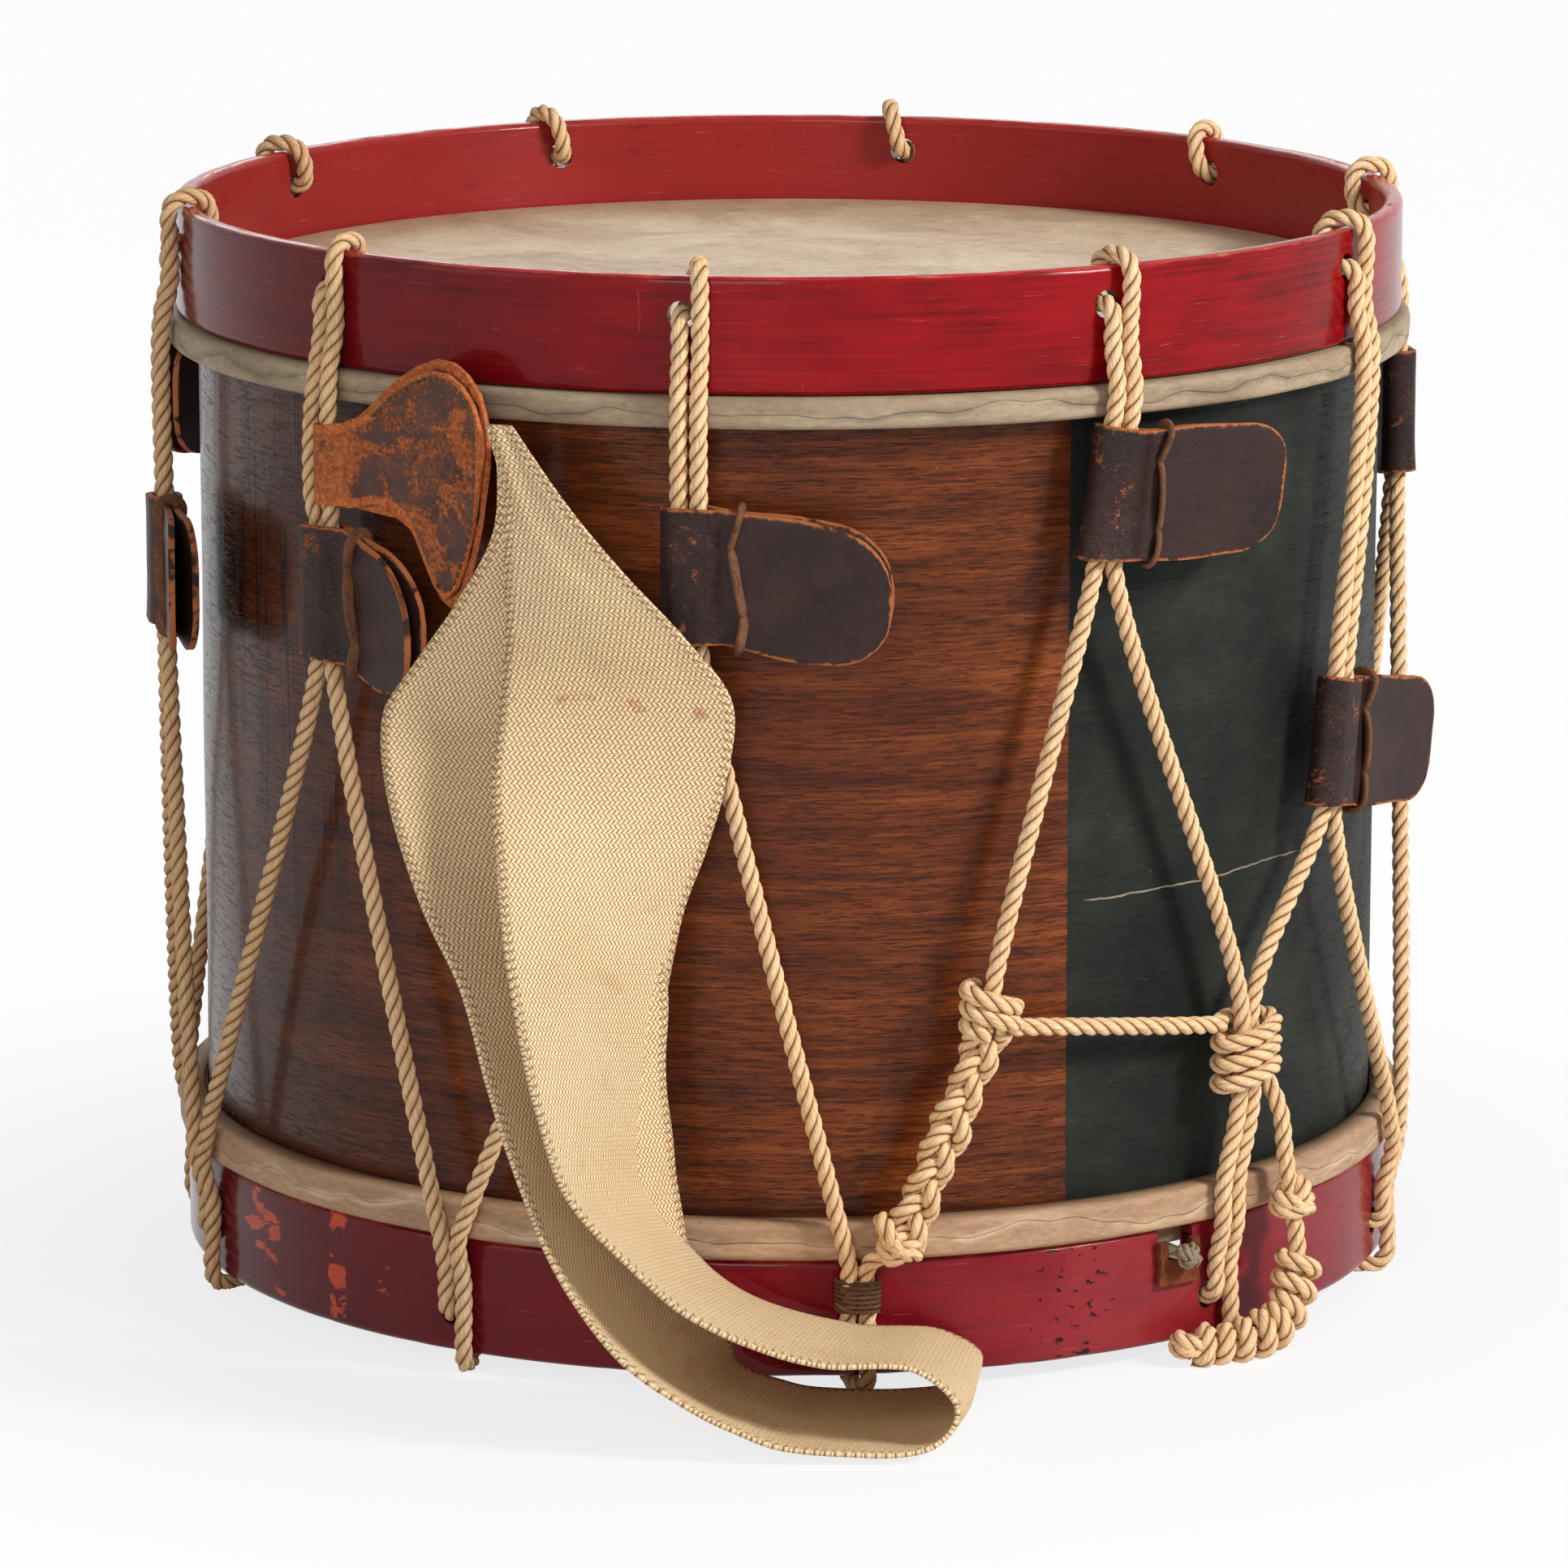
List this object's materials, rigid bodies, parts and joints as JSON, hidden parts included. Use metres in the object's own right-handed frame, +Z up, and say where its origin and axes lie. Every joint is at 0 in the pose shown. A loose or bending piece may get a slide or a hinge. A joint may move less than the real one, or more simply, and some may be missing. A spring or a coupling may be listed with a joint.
{
  "type": "rope-tension field drum",
  "caption": "Rope-tension field drum: red wooden hoops, skin heads, dark shell, zigzag rope with sliding leather ears, gut snares and a webbing carrying sling.",
  "frame": {"origin": "on the floor that the rope loops under the lower hoop stand on, below the middle of the outline seen from above; the drum axis is 1 mm to the right of it and 31 mm behind it, because the sling reaches forwards", "axes": "+Z up along the drum axis out of the batter head, -Y the front, where the carrying sling hangs, +X to the right"},
  "size_m": [0.4438, 0.5233, 0.3752],
  "materials": {
    "shell_paint": "worn varnish over red-brown wood, with one blackened panel",
    "hoop_paint": "worn gloss red paint on wood",
    "bare_wood": "bare",
    "skin": "drum skin, smooth and dry",
    "rope": "three-strand laid rope",
    "ear_leather": "dark, worn and scuffed",
    "thong": "waxed lace",
    "tab_leather": "raw edged, suede side out at the fold",
    "webbing": "herringbone woven webbing",
    "gut": "twisted gut",
    "brass": "dull, handled"
  },
  "bodies": {
    "drum": {"shell": "shell_paint", "bottom_glue_ring": "bare_wood", "top_glue_ring": "bare_wood", "top_flesh_hoop": "bare_wood", "bottom_flesh_hoop": "bare_wood", "batter_head": "skin", "snare_head": "skin", "top_counterhoop": "hoop_paint", "bottom_counterhoop": "hoop_paint", "rope_loop_1": "rope", "rope_loop_2": "rope", "rope_loop_3": "rope", "rope_loop_4": "rope", "rope_loop_5": "rope", "rope_loop_6": "rope", "rope_loop_7": "rope", "rope_loop_8": "rope", "rope_loop_9": "rope", "rope_loop_10": "rope", "rope_run_1": "rope", "rope_run_2": "rope", "rope_run_3": "rope", "rope_run_4": "rope", "rope_run_5": "rope", "rope_run_6": "rope", "rope_run_7": "rope", "rope_run_8": "rope", "rope_run_9": "rope", "rope_run_10": "rope", "gut_snares": "gut", "snare_butt": "ear_leather", "strainer_bridge": "brass", "rope_sinnet": "rope", "rope_cross_tie": "rope", "rope_tail": "rope"},
    "ear_1": {"ear_1": "ear_leather", "ear_thong_1": "thong"},
    "ear_2": {"ear_2": "ear_leather", "ear_thong_2": "thong"},
    "ear_3": {"ear_3": "ear_leather", "ear_thong_3": "thong"},
    "ear_4": {"ear_4": "ear_leather", "ear_thong_4": "thong"},
    "ear_5": {"ear_5": "ear_leather", "ear_thong_5": "thong"},
    "ear_6": {"ear_6": "ear_leather", "ear_thong_6": "thong"},
    "ear_7": {"ear_7": "ear_leather", "ear_thong_7": "thong"},
    "ear_8": {"ear_8": "ear_leather", "ear_thong_8": "thong"},
    "ear_9": {"ear_9": "ear_leather", "ear_thong_9": "thong"},
    "ear_10": {"ear_10": "ear_leather", "ear_thong_10": "thong"},
    "sling": {"sling_tab": "tab_leather", "sling_webbing": "webbing"},
    "nut": {"strainer_nut": "brass"},
    "hook": {"strainer_hook": "brass"}
  },
  "joints": [
    {"name": "ear_1_slide", "type": "slide", "parent": "drum", "child": "ear_1", "axis": [0, 0, 1], "range_m": [-0.0895, 0.0495], "deforming": ["rope_run_1"]},
    {"name": "ear_2_slide", "type": "slide", "parent": "drum", "child": "ear_2", "axis": [0, 0, 1], "range_m": [-0.099, 0.005], "deforming": ["rope_run_2"]},
    {"name": "ear_3_slide", "type": "slide", "parent": "drum", "child": "ear_3", "axis": [0, 0, 1], "range_m": [-0.1149, 0.0241], "deforming": ["rope_run_3"]},
    {"name": "ear_4_slide", "type": "slide", "parent": "drum", "child": "ear_4", "axis": [0.1142, 0.0628, 0.9915], "range_m": [-0.1332, 0], "deforming": ["rope_run_4"]},
    {"name": "ear_5_slide", "type": "slide", "parent": "drum", "child": "ear_5", "axis": [0.0855, 0.1317, 0.9876], "range_m": [-0.0414, 0.0862], "deforming": ["rope_run_5"]},
    {"name": "ear_6_slide", "type": "slide", "parent": "drum", "child": "ear_6", "axis": [0, 0, 1], "range_m": [-0.1273, 0.0117], "deforming": ["rope_run_6"]},
    {"name": "ear_7_slide", "type": "slide", "parent": "drum", "child": "ear_7", "axis": [0, 0, 1], "range_m": [-0.1218, 0.0172], "deforming": ["rope_run_7"]},
    {"name": "ear_8_slide", "type": "slide", "parent": "drum", "child": "ear_8", "axis": [0, 0, 1], "range_m": [-0.1019, 0.0371], "deforming": ["rope_run_8"]},
    {"name": "ear_9_slide", "type": "slide", "parent": "drum", "child": "ear_9", "axis": [0, 0, 1], "range_m": [-0.1211, 0.0179], "deforming": ["rope_run_9"]},
    {"name": "ear_10_slide", "type": "slide", "parent": "drum", "child": "ear_10", "axis": [0, 0, 1], "range_m": [-0.1309, 0.0081], "deforming": ["rope_run_10"]},
    {"name": "sling_swing", "type": "hinge", "parent": "drum", "child": "sling", "pos_m": [-0.14876, -0.1256, 0.30033], "axis": [0, 0, 1], "range_deg": [-70, 0]},
    {"name": "nut_turn", "type": "hinge", "parent": "drum", "child": "nut", "pos_m": [-0.14394, 0.2202, 0.03638], "axis": [-0.6088, 0.7934, 0], "range_deg": [0, 1440]},
    {"name": "hook_draw", "type": "slide", "parent": "drum", "child": "hook", "axis": [-0.6088, 0.7934, 0], "range_m": [0, 0.005], "deforming": ["gut_snares"]}
  ],
  "couplings": [
    {"joint": "hook_draw", "follows": "nut_turn", "m_per_rad": 0.00019894}
  ]
}
